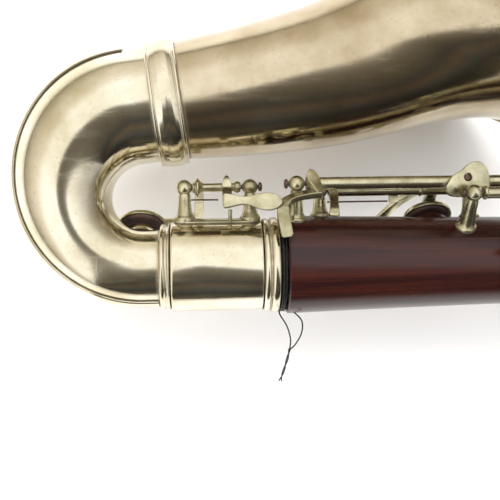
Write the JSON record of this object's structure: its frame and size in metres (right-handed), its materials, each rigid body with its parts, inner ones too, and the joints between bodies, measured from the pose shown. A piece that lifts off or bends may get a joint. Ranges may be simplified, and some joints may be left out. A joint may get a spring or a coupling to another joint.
{
  "type": "bass clarinet",
  "caption": "Keyed single-reed wind instrument lying on its side: metal bow and upturned flaring bell, tapered dark wooden joints with post-and-rod keywork, curved neck and mouthpiece.",
  "frame": {"origin": "bottom centre of the instrument's bounding box, so that it lies on Z = 0", "axes": "+X up the body towards the neck, +Y to the front where the bell turns up, +Z out of the side that faces up as the instrument lies"},
  "size_m": [0.8566, 0.2998, 0.1139],
  "materials": {
    "nickel_silver": "plated nickel silver, polished and lightly worn, with brown dirt at the joints",
    "keywork": "dull yellowish nickel silver, satin, rubbed",
    "steel": "blued and browned steel rods, screws and needle springs",
    "rosewood": "very dark red-brown oiled wood, glossy",
    "thread": "black waxed thread",
    "pad_leather": "brown leather over felt",
    "ebonite": "polished black ebonite",
    "cane": "pale scraped cane"
  },
  "bodies": {
    "body": {"bell_flare": "nickel_silver", "bell_band": "nickel_silver", "bow_tube": "nickel_silver", "bell_tone_hole": "nickel_silver", "bow_guard": "nickel_silver", "socket_tube": "nickel_silver", "bow_collar": "nickel_silver", "socket_ring": "nickel_silver", "bell_key_saddle": "keywork", "bell_post_low": "keywork", "bell_post_high": "keywork", "bell_key_rod": "steel", "bell_key_spring": "steel", "lower_joint": "rosewood", "lower_joint_ring": "nickel_silver", "tenon_thread": "thread", "link_post_low": "keywork", "link_post_high": "keywork", "link_key_rod": "steel", "vent_post_low": "keywork", "vent_post_high": "keywork", "vent_key_rod": "steel", "vent_key_spring": "steel", "crossover_post_low": "keywork", "crossover_post_high": "keywork", "crossover_rod": "steel", "right_hand_rib": "keywork", "right_hand_rod": "steel", "thumb_rest": "keywork", "upper_joint": "rosewood", "upper_joint_ring": "nickel_silver", "left_hand_rib": "keywork", "left_hand_rod": "steel", "register_saddle": "keywork"},
    "bell_key": {"bell_key": "keywork", "bell_key_pad": "pad_leather"},
    "link_key": {"link_key": "keywork"},
    "vent_key": {"vent_key": "keywork", "vent_pad_low": "pad_leather", "vent_pad_high": "pad_leather"},
    "crossover_key": {"crossover_key": "keywork", "crossover_pad": "pad_leather"},
    "register_key": {"register_key": "keywork", "register_pad": "pad_leather"},
    "neck": {"neck_tube": "nickel_silver"},
    "mouthpiece": {"mouthpiece": "ebonite", "reed": "cane", "ligature": "nickel_silver"},
    "right_ring_key": {"right_ring_key": "keywork", "right_ring_pad": "pad_leather"},
    "right_middle_key": {"right_middle_key": "keywork", "right_middle_pad": "pad_leather"},
    "right_index_key": {"right_index_key": "keywork", "right_index_pad": "pad_leather"},
    "left_ring_key": {"left_ring_key": "keywork", "left_ring_pad": "pad_leather"},
    "left_middle_key": {"left_middle_key": "keywork", "left_middle_pad": "pad_leather"},
    "left_index_key": {"left_index_key": "keywork", "left_index_pad": "pad_leather"}
  },
  "joints": [
    {"name": "bell_key_hinge", "type": "hinge", "parent": "body", "child": "bell_key", "pos_m": [-0.3502, 0.03659, 0.06119], "axis": [1, 0, 0], "range_deg": [-5.2, 0]},
    {"name": "link_key_hinge", "type": "hinge", "parent": "body", "child": "link_key", "pos_m": [-0.2492, 0.03691, 0.06897], "axis": [1, 0, 0], "range_deg": [-7.2, 0]},
    {"name": "vent_key_hinge", "type": "hinge", "parent": "body", "child": "vent_key", "pos_m": [-0.2802, 0.03505, 0.05545], "axis": [1, 0, 0], "range_deg": [0, 7]},
    {"name": "crossover_key_hinge", "type": "hinge", "parent": "body", "child": "crossover_key", "pos_m": [-0.2222, 0.03182, 0.07829], "axis": [1, 0, 0], "range_deg": [0, 5.5]},
    {"name": "right_ring_key_hinge", "type": "hinge", "parent": "body", "child": "right_ring_key", "pos_m": [-0.1302, 0.02503, 0.07916], "axis": [1, 0, 0], "range_deg": [-7.6, 0]},
    {"name": "right_middle_key_hinge", "type": "hinge", "parent": "body", "child": "right_middle_key", "pos_m": [-0.0722, 0.02503, 0.07916], "axis": [1, 0, 0], "range_deg": [-7.6, 0]},
    {"name": "right_index_key_hinge", "type": "hinge", "parent": "body", "child": "right_index_key", "pos_m": [-0.0142, 0.02503, 0.07916], "axis": [1, 0, 0], "range_deg": [-7.6, 0]},
    {"name": "left_ring_key_hinge", "type": "hinge", "parent": "body", "child": "left_ring_key", "pos_m": [0.1308, 0.02503, 0.07916], "axis": [1, 0, 0], "range_deg": [-7.6, 0]},
    {"name": "left_middle_key_hinge", "type": "hinge", "parent": "body", "child": "left_middle_key", "pos_m": [0.1868, 0.02503, 0.07916], "axis": [1, 0, 0], "range_deg": [-7.6, 0]},
    {"name": "left_index_key_hinge", "type": "hinge", "parent": "body", "child": "left_index_key", "pos_m": [0.2428, 0.02503, 0.07916], "axis": [1, 0, 0], "range_deg": [-7.6, 0]},
    {"name": "register_key_pivot", "type": "hinge", "parent": "body", "child": "register_key", "pos_m": [0.2688, -0.01811, 0.05695], "axis": [0, 0, -1], "range_deg": [0, 5]},
    {"name": "neck_slide", "type": "slide", "parent": "body", "child": "neck", "axis": [1, 0, 0], "range_m": [0, 0.01]},
    {"name": "mouthpiece_turn", "type": "hinge", "parent": "neck", "child": "mouthpiece", "pos_m": [0.40663, -0.07458, 0.05695], "axis": [-0.2588, -0.9659, 0], "range_deg": [-20, 20]}
  ],
  "couplings": [
    {"joint": "bell_key_hinge", "follows": "link_key_hinge", "ratio": 0.71}
  ]
}
